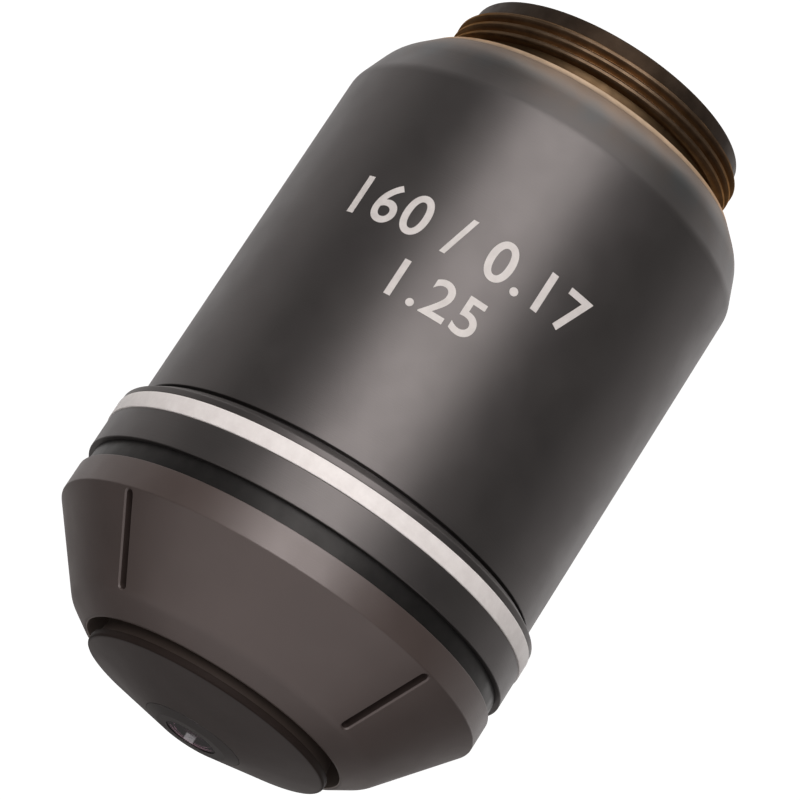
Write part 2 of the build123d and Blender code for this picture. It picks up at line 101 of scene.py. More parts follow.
# Roundness of what is turned
SEGMENTS = 256
ROUND_STEPS = 4
ROUND_SHARE = 0.45
SCREW_HOLE_SEGMENTS = 48
BALL_STEPS = 24
SHARP_ANGLE = math.radians(32)
FINE_EDGE = 0.03
SOFT_EDGE = 0.07
CAP_EDGE = 0.14
CONE_EDGE = 0.35
BODY_EDGE = 0.30
SHOULDER_EDGE = 0.70
WELD = 1e-7

# Thread: a right-hand helix cut between the lead and the relief
PITCH = 0.7056
THREAD_R = 10.13
ROOT_R = 9.70
LEAD_R = 9.60
LEAD_CHAMFER = 0.15
RELIEF_R = 9.45
THREAD_START_Z = 0.93
THREAD_END_Z = THREAD_START_Z + 3 * PITCH
CREST_HALF = 0.10
FLANK_RUN = 0.224
THREAD_STEPS = 3
THREAD_TURN = math.radians(30)
THREAD_TURNS = range(-2, 6)
LEAD_END_Z = 1.08
LEAD_TAPER = 0.12
RELIEF_TAPER = 0.08
CORNER = 0.02

# Radii of the housing that its boxes don't give
REAR_BORE_R = 8.10
GUIDE_BORE_R = 10.00
MOUNT_TUBE_R = 11.20
UNDERCUT_R = 10.35
UNDERCUT_DEPTH = 0.10
SHOULDER_R = 11.41
SHOULDER_CONE_R = 12.91
SHOULDER_CONE_HEIGHT = 1.66
BODY_CHAMFER_HEIGHT = 2.55
SPRING_SEAT_DEPTH = 3.60
SCREW_HOLE_R = 0.82
SLEEVE_NECK_R = 11.22
SLEEVE_BORE_R = 12.40
SLEEVE_NECK_HEIGHT = 4.00
SEAM_R = 13.35
SEAM_WIDTH = 0.30
CARRIER_SKIRT_R = 12.38
SPIGOT_R = 12.00
SPIGOT_GAP = 0.02
SPIGOT_LENGTH = 1.70
FLANGE_R = 14.70
FLANGE_CHAMFER_R = 14.05
FLANGE_CHAMFER_HEIGHT = 0.45
WHITE_SEAT_R = 13.90
BLACK_SEAT_R = 13.40
BAND_R = 14.64
BAND_WIDTH = 1.84
CONE_HEIGHT = 4.97
CONE_END_R = 10.71
NOSE_RIM_R = 9.15
NOSE_BORE_R = 8.95
SLOT_WIDTH = 0.56
SLOT_DEPTH = 0.80
SLOT_MARGIN = 0.18
SLOT_COUNT = 4
SLOT_AZIMUTH = math.radians(45)
SLOT_FLARE = 0.10
SLOT_ARC_STEPS = 12

# Radii and heights of the front that its boxes don't give
BARREL_BORE_R = 7.00
NECK_R = 7.72
NECK_LENGTH = 4.96
SHIM_HEIGHT = 0.20
CAP_R = 8.37
CAP_CONE_DROP = 1.62
CAP_BRIM_HEIGHT = 0.43
CAP_RELIEF_R = 7.90
CAP_RELIEF_HEIGHT = 2.40
CAP_FILLET_R = 8.22
CAP_FILLET_HEIGHT = 1.10
CAP_SKIRT_R = 8.40
CAP_HOLE_R = 3.30
CAP_FACE_DEPTH = 2.55
TIP_FLAT_R = 2.43
BALL_R = 1.85
LENS_THICKNESS = 2.55
LENS_RECESS = 0.05

# Print on the sleeve: plain numbers, as (text, height of the figures, distance from the shoulder)
PRINT_ROWS = [("160 / 0.17", 2.80, 15.05), ("1.25", 2.60, 19.00)]
PRINT_MIDDLE = math.radians(-8)
PRINT_PROUD = 0.012
PRINT_SINK = 0.02
PRINT_STRIP = 0.30
PRINT_WELD = 1e-5
PRINT_SPACING = 1.10
PRINT_WEIGHT = 0.012


def box_corners(node):
    """Lowest and highest corner of a CAD node, in millimetres."""
    return [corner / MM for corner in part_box(node)]


# Sizes that the CAD nodes give, and what follows from them
sleeve_low, sleeve_high = box_corners("body_sleeve")
carrier_low, carrier_high = box_corners("nose_carrier")
white_low, white_high = box_corners("white_code_ring")
black_low, black_high = box_corners("immersion_code_ring")
cone_low, cone_high = box_corners("nose_cone")
screw_low, screw_high = box_corners("guide_screws")
tube_high = box_corners("mount_barrel")[1]
cell_high = box_corners("front_lens_cell")[1]
BODY_R = sleeve_high.x
RIM_Z = sleeve_low.z
RIM_HEIGHT = 0.50
SHOULDER_Z = RIM_Z - RIM_HEIGHT
RIM_R = SHOULDER_R + (SHOULDER_CONE_R - SHOULDER_R) * RIM_HEIGHT / SHOULDER_CONE_HEIGHT
SHOULDER_CONE_Z = SHOULDER_Z + SHOULDER_CONE_HEIGHT
BODY_START_Z = SHOULDER_CONE_Z + BODY_CHAMFER_HEIGHT
BODY_END_Z = sleeve_high.z
FLANGE_Z = BODY_END_Z + SEAM_WIDTH
BAND_START_Z = black_high.z
BAND_END_Z = BAND_START_Z + BAND_WIDTH
CONE_END_Z = BAND_END_Z + CONE_HEIGHT
LEDGE_Z = carrier_high.z
TIP_Z = cell_high.z
CAP_EDGE_Z = TIP_Z - CAP_CONE_DROP
CAP_BRIM_Z = CAP_EDGE_Z - CAP_BRIM_HEIGHT


def add_mesh(name, mesh, body, slot, *nodes):
    """Links a mesh as a piece with a finish, on a body, that stands for CAD nodes."""
    piece = bpy.data.objects.new(name, mesh)
    bpy.context.scene.collection.objects.link(piece)
    mesh.materials.clear()
    mesh.materials.append(PIECE_MATERIALS.get(name) or SLOT_MATERIALS[slot])
    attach(piece, body)
    if nodes:
        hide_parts(*nodes)
    return piece


def mesh_from(name, shape):
    """A mesh with outward normals from a bmesh, which is freed."""
    bmesh.ops.recalc_face_normals(shape, faces=shape.faces)
    mesh = bpy.data.meshes.new(name)
    shape.to_mesh(mesh)
    shape.free()
    return mesh


def rounded(corners):
    """The corners of a closed section with each edge break as a short curve."""
    points = []
    for i, (r, z, size) in enumerate(corners):
        here = Vector((r, z))
        if not size:
            points.append(here)
            continue
        before = Vector(corners[i - 1][:2]) - here
        after = Vector(corners[(i + 1) % len(corners)][:2]) - here
        start = here + before.normalized() * min(size, before.length * ROUND_SHARE)
        end = here + after.normalized() * min(size, after.length * ROUND_SHARE)
        for step in range(ROUND_STEPS + 1):
            t = step / ROUND_STEPS
            points.append(start * (1 - t) ** 2 + here * 2 * t * (1 - t) + end * t**2)
    return points


def at(shape, r, z, turn):
    """A vertex at a radius, a height and an angle, all in millimetres and radians."""
    return shape.verts.new((r * math.cos(turn) * MM, r * math.sin(turn) * MM, z * MM))


def ring(shape, r, z):
    """A ring of vertices round the axis."""
    return [at(shape, r, z, 2 * math.pi * i / SEGMENTS) for i in range(SEGMENTS)]


def join_rings(shape, lower, upper):
    """Faces between two rings of vertices."""
    for i in range(SEGMENTS):
        k = (i + 1) % SEGMENTS
        shape.faces.new((lower[i], lower[k], upper[k], upper[i]))


def weld(shape):
    """Merges what lies together, such as the points of a ring on the axis."""
    bmesh.ops.remove_doubles(shape, verts=shape.verts, dist=WELD)
    bmesh.ops.dissolve_degenerate(shape, edges=shape.edges, dist=WELD)
    bare = [edge for edge in shape.edges if not edge.link_faces]
    bmesh.ops.delete(shape, geom=bare, context="EDGES")


def turned_mesh(name, corners):
    """A closed mesh of revolution from a section of (radius, height, edge break)."""
    shape = bmesh.new()
    rings = [ring(shape, r, z) for r, z in rounded(corners)]
    for lower, upper in zip(rings, rings[1:] + rings[:1]):
        join_rings(shape, lower, upper)
    weld(shape)
    return mesh_from(name, shape)


def smooth(piece):
    """Smooth shading that keeps corners sharp and large faces true."""
    mesh = piece.data
    mesh.polygons.foreach_set("use_smooth", [True] * len(mesh.polygons))
    mesh.set_sharp_from_angle(angle=SHARP_ANGLE)
    weighted = piece.modifiers.new("weighted_normals", "WEIGHTED_NORMAL")
    weighted.keep_sharp = True
    return piece


def turned(name, corners, body, slot, *nodes):
    """A turned piece with its finish, on its body."""
    return smooth(add_mesh(name, turned_mesh(name, corners), body, slot, *nodes))


def cut(mesh, cutter_meshes):
    """The mesh with the cutters taken away."""
    scene = bpy.context.scene.collection.objects
    solid = bpy.data.objects.new("to_cut", mesh)
    scene.link(solid)
    cutters = []
    for cutter_mesh in cutter_meshes:
        cutter = bpy.data.objects.new("cutter", cutter_mesh)
        scene.link(cutter)
        cutters.append(cutter)
        modifier = solid.modifiers.new("cut", "BOOLEAN")
        modifier.operation = "DIFFERENCE"
        modifier.solver = "EXACT"
        modifier.object = cutter
    bpy.context.view_layer.update()
    shaped = bpy.data.meshes.new_from_object(solid.evaluated_get(bpy.context.evaluated_depsgraph_get()))
    shaped.name = mesh.name + "_cut"
    for helper in [solid, *cutters]:
        bpy.data.objects.remove(helper)
    return shaped


# Materials: grain sizes and depths in millimetres, indices of refraction, and linear colours,
# where a pair is the darker and the lighter end of a surface's own variation
NOISE_LOW = 0.3
NOISE_HIGH = 0.7
LINE_SIZE = 0.09
GRAIN_SIZE = 0.07
COAT_LINE_DEPTH = 0.003
COAT_GRAIN_DEPTH = 0.004
METAL_LINE_SIZE = 0.08
METAL_LINE_DEPTH = 0.004
ENAMEL_WAVE_DEPTH = 0.006
GLASS_FADE = 0.95
COAT_INDEX = 2.0
WARM_INDEX = 2.2
BRIM_INDEX = 1.12
GROOVE_INDEX = 1.5
LEAD_INDEX = 1.34
PLAIN_LEVEL = 0.5
COAT_SHEEN = (1.0, 0.95, 0.96)
BRASS_SHEEN = (0.97, 0.62, 0.38)
WARM_SHEENS = ((0.82, 0.47, 0.24), (0.70, 0.46, 0.30))
BLUISH_SHEENS = ((0.90, 0.74, 0.66), (0.68, 0.74, 0.79))
BRASS_TONES = {
    "crest": ((0.120, 0.083, 0.055), (0.185, 0.132, 0.089)),
    "groove": ((0.185, 0.118, 0.062), (0.285, 0.182, 0.098)),
    # The relief tone is dull brass, darkened further as painted shade of the groove under the thread.
    "relief": ((0.085, 0.054, 0.028), (0.130, 0.087, 0.050)),
    # The run-out tone is lighter brass beside the thread's end: painted light against the shadow under
    # the last crest.
    "run_out_fill_light": ((0.100, 0.066, 0.035), (0.145, 0.098, 0.056)),
    "lip": ((0.34, 0.285, 0.220), (0.50, 0.420, 0.335)),
    "coat": ((0.014, 0.011, 0.009), (0.020, 0.016, 0.012)),
    "lead": ((0.013, 0.010, 0.008), (0.030, 0.023, 0.018)),
}
# The cap groove tone is lighter than the cap's coat: painted light in the shaded groove behind the
# brim.
CAP_GROOVE_PAINTED_LIGHT = (0.075, 0.058, 0.050)
# The slot tone is dark: painted shade inside the narrow slots of the nose cone.
SLOT_PAINTED_SHADE = (0.040, 0.028, 0.025)
# The bore tone is light: painted light in the shade of the bore's wall at the tip, seen through the gap
# beside the cap.
BORE_PAINTED_LIGHT = (0.34, 0.29, 0.26)

# Where one finish, painted light or painted shade goes over into the next, in millimetres
GROOVE_TONE_R = 9.80
CREST_TONE_R = 9.98
LEAD_TONE_R = LEAD_R - 0.35
LEAD_TONE_END_R = LEAD_R - 0.20
LEAD_TONE_Z = LEAD_END_Z - 0.10
RELIEF_FADE = 0.05
# Where the painted light beside the thread's end fades into the relief's tone
FILL_LIGHT_FADE_Z = THREAD_END_Z + 0.10
FILL_LIGHT_END_Z = THREAD_END_Z + 0.45
LIP_FADE = 0.02
RIM_COAT_Z = SHOULDER_Z + 0.12
RIM_COAT_END_Z = RIM_Z + 0.20
BLUISH_Z = SHOULDER_CONE_Z + 0.40
BLUISH_END_Z = SHOULDER_CONE_Z + 0.60
BRIM_START_R = CAP_R - 0.25
BRIM_R = CAP_R - 0.06
BRIM_FADE = 0.03
# Where the painted shade inside the slots lies: its depth below the cone's face and its heights along
# the cone
SLOT_SHADE_DEPTH = 0.14
SLOT_UNSHADED_DEPTH = 0.04
SLOT_SHADE_LOW_Z = BAND_END_Z + 0.05
SLOT_SHADE_HIGH_Z = CONE_END_Z - 0.15
SLOT_SHADE_FADE_LOW = 0.10
SLOT_SHADE_FADE_HIGH = 0.15
# Where the painted light on the bore's wall at the tip begins and ends
BORE_START_R = NOSE_BORE_R + 0.02
BORE_END_R = NOSE_BORE_R + 0.08


def shader(name):
    """A new material, its node tree and its Principled shader."""
    material = bpy.data.materials.new(name)
    material.use_nodes = True
    tree = material.node_tree
    return material, tree, tree.nodes["Principled BSDF"]


def turned_coordinate(tree):
    """Radius and height as a vector, so that a texture runs round the axis like a turning mark."""
    place = tree.nodes.new("ShaderNodeTexCoord")
    split = tree.nodes.new("ShaderNodeSeparateXYZ")
    flat = tree.nodes.new("ShaderNodeCombineXYZ")
    radius = tree.nodes.new("ShaderNodeVectorMath")
    radius.operation = "LENGTH"
    both = tree.nodes.new("ShaderNodeCombineXYZ")
    tree.links.new(place.outputs["Object"], split.inputs[0])
    tree.links.new(split.outputs["X"], flat.inputs["X"])
    tree.links.new(split.outputs["Y"], flat.inputs["Y"])
    tree.links.new(flat.outputs[0], radius.inputs[0])
    tree.links.new(radius.outputs["Value"], both.inputs["X"])
    tree.links.new(split.outputs["Z"], both.inputs["Y"])
    return both.outputs[0]


def object_coordinate(tree):
    """Place on the object, in metres."""
    return tree.nodes.new("ShaderNodeTexCoord").outputs["Object"]


def noise(tree, vector, size, detail=2.0, roughness=0.5):
    """Noise with grains of about the size given in millimetres, from 0 to 1."""
    node = tree.nodes.new("ShaderNodeTexNoise")
    node.inputs["Scale"].default_value = 1 / (size * MM)
    node.inputs["Detail"].default_value = detail
    node.inputs["Roughness"].default_value = roughness
    tree.links.new(vector, node.inputs["Vector"])
    return node.outputs["Fac"]


def spread(tree, value, low, high):
    """Maps a noise to a range of values."""
    node = tree.nodes.new("ShaderNodeMapRange")
    node.inputs["From Min"].default_value = NOISE_LOW
    node.inputs["From Max"].default_value = NOISE_HIGH
    node.inputs["To Min"].default_value = low
    node.inputs["To Max"].default_value = high
    tree.links.new(value, node.inputs["Value"])
    return node.outputs["Result"]


def blend_colours(tree, value, first, second):
    """A colour between two, by a noise."""
    node = tree.nodes.new("ShaderNodeMix")
    node.data_type = "RGBA"
    node.inputs["A"].default_value = (*first, 1)
    node.inputs["B"].default_value = (*second, 1)
    tree.links.new(spread(tree, value, 0, 1), node.inputs["Factor"])
    return node.outputs["Result"]


def mixed(tree, factor, first, second):
    """A colour between two, each of them a colour or another node's output."""
    node = tree.nodes.new("ShaderNodeMix")
    node.data_type = "RGBA"
    tree.links.new(factor, node.inputs["Factor"])
    for key, colour in (("A", first), ("B", second)):
        if isinstance(colour, tuple):
            node.inputs[key].default_value = (*colour, 1)
        else:
            tree.links.new(colour, node.inputs[key])
    return node.outputs["Result"]


def ramp(tree, value, low, high, first=0.0, second=1.0):
    """Goes smoothly from one value to another between two places in millimetres."""
    node = tree.nodes.new("ShaderNodeMapRange")
    node.interpolation_type = "SMOOTHSTEP"
    node.inputs["From Min"].default_value = low * MM
    node.inputs["From Max"].default_value = high * MM
    node.inputs["To Min"].default_value = first
    node.inputs["To Max"].default_value = second
    tree.links.new(value, node.inputs["Value"])
    return node.outputs["Result"]


def radius_and_height(tree):
    """Radius and height as two values."""
    split = tree.nodes.new("ShaderNodeSeparateXYZ")
    tree.links.new(turned_coordinate(tree), split.inputs[0])
    return split.outputs["X"], split.outputs["Y"]


def combine(tree, operation, first, second):
    """One value from two; the second may be a number."""
    node = tree.nodes.new("ShaderNodeMath")
    node.operation = operation
    tree.links.new(first, node.inputs[0])
    if isinstance(second, (int, float)):
        node.inputs[1].default_value = second
    else:
        tree.links.new(second, node.inputs[1])
    return node.outputs["Value"]


def level_of(index):
    """The specular level at which a coat reflects as if it had another index of refraction."""
    reflections = [((n - 1) / (n + 1)) ** 2 for n in (index, COAT_INDEX)]
    return PLAIN_LEVEL * reflections[0] / reflections[1]


def bump(tree, heights):
    """Stacks bumps, each a (height socket, depth in millimetres), and gives the normal."""
    normal = None
    for height, depth in heights:
        node = tree.nodes.new("ShaderNodeBump")
        node.inputs["Distance"].default_value = depth * MM
        tree.links.new(height, node.inputs["Height"])
        if normal:
            tree.links.new(normal, node.inputs["Normal"])
        normal = node.outputs["Normal"]
    return normal


def coated_metal(name, dark, light, roughness):
    """Satin coat on turned metal: fine grain over faint turning marks."""
    material, tree, surface = shader(name)
    surface.inputs["IOR"].default_value = COAT_INDEX
    surface.inputs["Specular Tint"].default_value = (*COAT_SHEEN, 1)
    place = object_coordinate(tree)
    tint = blend_colours(tree, noise(tree, place, 6.0, 3), dark, light)
    tree.links.new(tint, surface.inputs["Base Color"])
    smear = noise(tree, place, 2.5, 4)
    tree.links.new(spread(tree, smear, *roughness), surface.inputs["Roughness"])
    lines = noise(tree, turned_coordinate(tree), LINE_SIZE, 1)
    grain = noise(tree, place, GRAIN_SIZE, 2)
    normal = bump(tree, [(lines, COAT_LINE_DEPTH), (grain, COAT_GRAIN_DEPTH)])
    tree.links.new(normal, surface.inputs["Normal"])
    return material


def bare_metal(name, dark, light, roughness):
    """Turned metal with lines round the axis and a worn tone."""
    material, tree, surface = shader(name)
    surface.inputs["Metallic"].default_value = 1.0
    place = object_coordinate(tree)
    tint = blend_colours(tree, noise(tree, place, 1.8, 5, 0.6), dark, light)
    tree.links.new(tint, surface.inputs["Base Color"])
    smear = noise(tree, place, 0.9, 4)
    tree.links.new(spread(tree, smear, *roughness), surface.inputs["Roughness"])
    lines = noise(tree, turned_coordinate(tree), METAL_LINE_SIZE, 2)
    tree.links.new(bump(tree, [(lines, METAL_LINE_DEPTH)]), surface.inputs["Normal"])
    return material


def enamel(name, dark, light, roughness, index=1.5):
    """Enamel filled into a groove: smooth, with a slight wave and specks."""
    material, tree, surface = shader(name)
    surface.inputs["IOR"].default_value = index
    place = object_coordinate(tree)
    tint = blend_colours(tree, noise(tree, place, 0.8, 6, 0.65), dark, light)
    tree.links.new(tint, surface.inputs["Base Color"])
    tree.links.new(spread(tree, noise(tree, place, 1.2, 3), *roughness), surface.inputs["Roughness"])
    wave = noise(tree, place, 0.5, 3)
    tree.links.new(bump(tree, [(wave, ENAMEL_WAVE_DEPTH)]), surface.inputs["Normal"])
    return material


def lens_glass(name, tint, index, coat_tint):
    """Coated glass: a body of the given tint, faint coloured reflection and a slightly hazed face."""
    material, tree, surface = shader(name)
    surface.inputs["Transmission Weight"].default_value = 1.0
    surface.inputs["IOR"].default_value = index
    surface.inputs["Specular Tint"].default_value = (*coat_tint, 1)
    place = object_coordinate(tree)
    faded = [channel * GLASS_FADE for channel in tint]
    body = blend_colours(tree, noise(tree, place, 1.5, 2), faded, tint)
    tree.links.new(body, surface.inputs["Base Color"])
    haze = spread(tree, noise(tree, place, 0.4, 4), 0.0, 0.03)
    tree.links.new(haze, surface.inputs["Roughness"])
    return material


def thread_brass(name):
    """The mounting barrel: black lead and bore, worn brass on the crests, brown grooves, dull gold in
    the relief that is darkened further as painted shade, lighter brass beside the thread's end as
    painted light against the shadow under the last crest, and brass at the shoulder's lip that goes
    over into the sleeve's coat."""
    material, tree, surface = shader(name)
    place = object_coordinate(tree)
    radius, height = radius_and_height(tree)
    patches = noise(tree, place, 1.2, 4, 0.6)
    tones = {part: blend_colours(tree, patches, *pair) for part, pair in BRASS_TONES.items()}
    on_crest = ramp(tree, radius, GROOVE_TONE_R, CREST_TONE_R)
    beyond_fill_light = ramp(tree, height, FILL_LIGHT_FADE_Z, FILL_LIGHT_END_Z)
    in_relief = ramp(tree, height, THREAD_END_Z - RELIEF_FADE, THREAD_END_Z + RELIEF_FADE)
    on_lip = ramp(tree, height, SHOULDER_Z - LIP_FADE, SHOULDER_Z + LIP_FADE)
    tone = mixed(tree, on_crest, tones["groove"], tones["crest"])
    # Beside the thread's end, lighter brass as painted light against the shadow under the last crest;
    # further on, the relief's tone
    tone = mixed(tree, in_relief, tone, mixed(tree, beyond_fill_light, tones["run_out_fill_light"], tones["relief"]))
    tone = mixed(tree, on_lip, tone, tones["lip"])
    tone = mixed(tree, ramp(tree, height, RIM_COAT_Z, RIM_COAT_END_Z), tone, tones["coat"])
    outside = ramp(tree, radius, LEAD_TONE_R, LEAD_TONE_END_R)
    past_lead = combine(tree, "MULTIPLY", outside, ramp(tree, height, LEAD_TONE_Z, LEAD_END_Z))
    tree.links.new(mixed(tree, past_lead, tones["lead"], tone), surface.inputs["Base Color"])
    uncoated = ramp(tree, height, RIM_COAT_Z, RIM_COAT_END_Z, 1, 0)
    tree.links.new(combine(tree, "MULTIPLY", past_lead, uncoated), surface.inputs["Metallic"])
    level = ramp(tree, height, SHOULDER_Z, RIM_Z, level_of(LEAD_INDEX), level_of(WARM_INDEX))
    tree.links.new(level, surface.inputs["Specular IOR Level"])
    surface.inputs["IOR"].default_value = COAT_INDEX
    surface.inputs["Specular Tint"].default_value = (*BRASS_SHEEN, 1)
    tree.links.new(spread(tree, noise(tree, place, 0.9, 4), 0.42, 0.54), surface.inputs["Roughness"])
    lines = noise(tree, turned_coordinate(tree), METAL_LINE_SIZE, 2)
    tree.links.new(bump(tree, [(lines, METAL_LINE_DEPTH)]), surface.inputs["Normal"])
    return material


def warm_near_thread(material):
    """Tints a coat's sheen: warm beside the thread, then bluish with patches, then as it was."""
    tree = material.node_tree
    surface = tree.nodes["Principled BSDF"]
    height = radius_and_height(tree)[1]
    patches = noise(tree, object_coordinate(tree), 3.2, 3)
    warm = blend_colours(tree, patches, *WARM_SHEENS)
    bluish = blend_colours(tree, patches, *BLUISH_SHEENS)
    sheen = mixed(tree, ramp(tree, height, RIM_Z, BLUISH_Z), warm, bluish)
    sheen = mixed(tree, ramp(tree, height, BLUISH_END_Z, BODY_START_Z), sheen, COAT_SHEEN)
    tree.links.new(sheen, surface.inputs["Specular Tint"])
    level = ramp(tree, height, RIM_Z, BODY_START_Z, level_of(WARM_INDEX), PLAIN_LEVEL)
    tree.links.new(level, surface.inputs["Specular IOR Level"])


def dull_brim_paint_groove_light(material):
    """Takes the sheen off the cap's brim, and gives the groove behind it a duller sheen and a lighter
    tone: painted light in the groove's shade.
    """
    tree = material.node_tree
    surface = tree.nodes["Principled BSDF"]
    radius, height = radius_and_height(tree)
    outside = ramp(tree, height, CAP_BRIM_Z - BRIM_FADE, CAP_BRIM_Z + BRIM_FADE)
    face_level = ramp(tree, radius, BRIM_START_R, BRIM_R, PLAIN_LEVEL, level_of(BRIM_INDEX))
    groove_level = level_of(GROOVE_INDEX)
    gain = combine(tree, "MULTIPLY", outside, combine(tree, "SUBTRACT", face_level, groove_level))
    level = combine(tree, "ADD", gain, groove_level)
    tree.links.new(level, surface.inputs["Specular IOR Level"])
    plain = surface.inputs["Base Color"].links[0].from_socket
    # Below the brim: painted light in the groove's shade
    tree.links.new(mixed(tree, outside, CAP_GROOVE_PAINTED_LIGHT, plain), surface.inputs["Base Color"])


def paint_nose_shade_and_light(material):
    """Darkens the slots' insides as painted shade, and lightens the bore at the tip as painted light in
    its shade.
    """
    tree = material.node_tree
    surface = tree.nodes["Principled BSDF"]
    radius, height = radius_and_height(tree)
    slope = (BAND_R - CONE_END_R) / CONE_HEIGHT
    level = combine(tree, "ADD", radius, combine(tree, "MULTIPLY", height, slope))
    cone_level = BAND_R + BAND_END_Z * slope
    inside = ramp(tree, level, cone_level - SLOT_SHADE_DEPTH, cone_level - SLOT_UNSHADED_DEPTH, 1, 0)
    low = ramp(tree, height, SLOT_SHADE_LOW_Z, SLOT_SHADE_LOW_Z + SLOT_SHADE_FADE_LOW)
    high = ramp(tree, height, SLOT_SHADE_HIGH_Z - SLOT_SHADE_FADE_HIGH, SLOT_SHADE_HIGH_Z, 1, 0)
    slot_shade = combine(tree, "MULTIPLY", inside, combine(tree, "MULTIPLY", low, high))
    plain = surface.inputs["Base Color"].links[0].from_socket
    # Inside the slots: painted shade
    tone = mixed(tree, slot_shade, plain, SLOT_PAINTED_SHADE)
    # In the bore at the tip: painted light in its shade
    in_bore = ramp(tree, radius, BORE_START_R, BORE_END_R, 1, 0)
    tree.links.new(mixed(tree, in_bore, tone, BORE_PAINTED_LIGHT), surface.inputs["Base Color"])


# Finishes as (name, darker tone, lighter tone, range of roughness)
black_coat = coated_metal("black_coat", (0.012, 0.011, 0.011), (0.017, 0.016, 0.015), (0.40, 0.46))
nose_coat = coated_metal("nose_coat", (0.046, 0.032, 0.028), (0.058, 0.041, 0.036), (0.40, 0.47))
cap_coat = coated_metal("cap_coat", (0.022, 0.016, 0.014), (0.030, 0.023, 0.021), (0.46, 0.54))
body_coat = coated_metal("body_coat", (0.012, 0.011, 0.011), (0.017, 0.016, 0.015), (0.40, 0.46))
black_brass = coated_metal("black_brass", (0.010, 0.010, 0.010), (0.018, 0.017, 0.016), (0.50, 0.60))
toned_brass = bare_metal("toned_brass", (0.20, 0.150, 0.105), (0.33, 0.25, 0.17), (0.30, 0.42))
steel = bare_metal("steel", (0.45, 0.45, 0.46), (0.60, 0.60, 0.61), (0.25, 0.35))
white_enamel = enamel("white_enamel", (0.80, 0.775, 0.77), (0.90, 0.88, 0.875), (0.34, 0.46))
white_ink = enamel("white_ink", (0.60, 0.58, 0.57), (0.72, 0.70, 0.69), (0.45, 0.60))
black_enamel = enamel("black_enamel", (0.008, 0.008, 0.008), (0.014, 0.013, 0.013), (0.36, 0.46), 1.38)
# Glass as (name, tint, index of refraction, colour of the coating's reflection)
glass = lens_glass("glass", (0.95, 0.98, 0.97), 1.60, (0.75, 0.85, 1.0))
# The front lens's glass is tinted dark pink: painted shade that keeps the front lens dark.
front_glass = lens_glass("front_glass", (0.36, 0.20, 0.28), 1.52, (1.0, 0.62, 0.78))
paint_nose_shade_and_light(nose_coat)
dull_brim_paint_groove_light(cap_coat)
warm_near_thread(body_coat)

SLOT_MATERIALS = {
    "bare_brass": toned_brass,
    "black_brass": black_brass,
    "black_coat": black_coat,
    "nose_coat": nose_coat,
    "white_enamel": white_enamel,
    "black_enamel": black_enamel,
    "front_glass": front_glass,
    "glass": glass,
    "steel": steel,
}
PIECE_MATERIALS = {
    "mount_barrel_threaded": thread_brass("thread_brass"),
    "body_sleeve_shell": body_coat,
    "nose_cap_shell": cap_coat,
    "printed_figures": white_ink,
}
for entry in frame["record"]["subparts"]:
    slots = frame["nodes"][entry["node"]].data.materials
    slots.clear()
    slots.append(SLOT_MATERIALS[entry["material_slot"]])


# Housing
def thread_profile():
    """Radius over one pitch of the thread, from root to root, with slightly rounded corners."""
    middle = PITCH / 2
    foot = CREST_HALF + FLANK_RUN
    return [
        (0, ROOT_R),
        (middle - foot - CORNER, ROOT_R),
        (middle - foot + CORNER, ROOT_R + CORNER * 2),
        (middle - CREST_HALF - CORNER, THREAD_R - CORNER * 2),
        (middle - CREST_HALF + CORNER, THREAD_R),
        (middle + CREST_HALF - CORNER, THREAD_R),
        (middle + CREST_HALF + CORNER, THREAD_R - CORNER * 2),
        (middle + foot - CORNER, ROOT_R + CORNER * 2),
        (middle + foot + CORNER, ROOT_R),
    ]


def thread_places(profile):
    """Places along one pitch: the profile's corners and the steps between them."""
    stops = [place for place, _ in profile] + [PITCH]
    steps = range(THREAD_STEPS)
    return [a + (b - a) * i / THREAD_STEPS for a, b in zip(stops, stops[1:]) for i in steps]


def thread_shift():
    """The share of a turn at which the helix lies as the rings of the CAD model do."""
    return (TOWARD_CAMERA - THREAD_TURN) / (2 * math.pi)


def thread_radius(profile, z, share):
    """Radius of the thread at a height and a share of a turn, tapered at both ends."""
    shift = thread_shift()
    place = ((z - THREAD_START_Z) / PITCH - share + shift) % 1 * PITCH
    stops = profile + [(PITCH, ROOT_R)]
    for (u, r), (v, s) in zip(stops, stops[1:]):
        if u <= place <= v:
            radius = r + (s - r) * (place - u) / (v - u)
            break
    lead = LEAD_R + (THREAD_R - LEAD_R) * max(0, z - LEAD_END_Z) / LEAD_TAPER
    relief = RELIEF_R + (THREAD_R - RELIEF_R) * (THREAD_END_Z - z) / RELIEF_TAPER
    return min(radius, lead, relief)


def cut_thread(shape):
    """The helical thread. Its rows climb one pitch in a turn, so the last column meets the first
    one as many rows higher as a pitch has. Its ends lie on the plain rings, for the weld."""
    profile = thread_profile()
    places = thread_places(profile)
    shift = thread_shift()
    columns = []
    for i in range(SEGMENTS):
        share = i / SEGMENTS
        column = []
        for turn in THREAD_TURNS:
            for u in places:
                z = THREAD_START_Z + u + PITCH * (turn + share - shift)
                z = min(max(z, THREAD_START_Z), THREAD_END_Z)
                radius = thread_radius(profile, z, share)
                column.append(at(shape, radius, z, 2 * math.pi * share))
        columns.append(column)
    rows = len(columns[0])
    for i in range(SEGMENTS):
        last = i == SEGMENTS - 1
        step = len(places) if last else 0
        column, beside = columns[i], columns[0 if last else i + 1]
        for k in range(rows - 1 - step):
            shape.faces.new((column[k], beside[k + step], beside[k + step + 1], column[k + 1]))


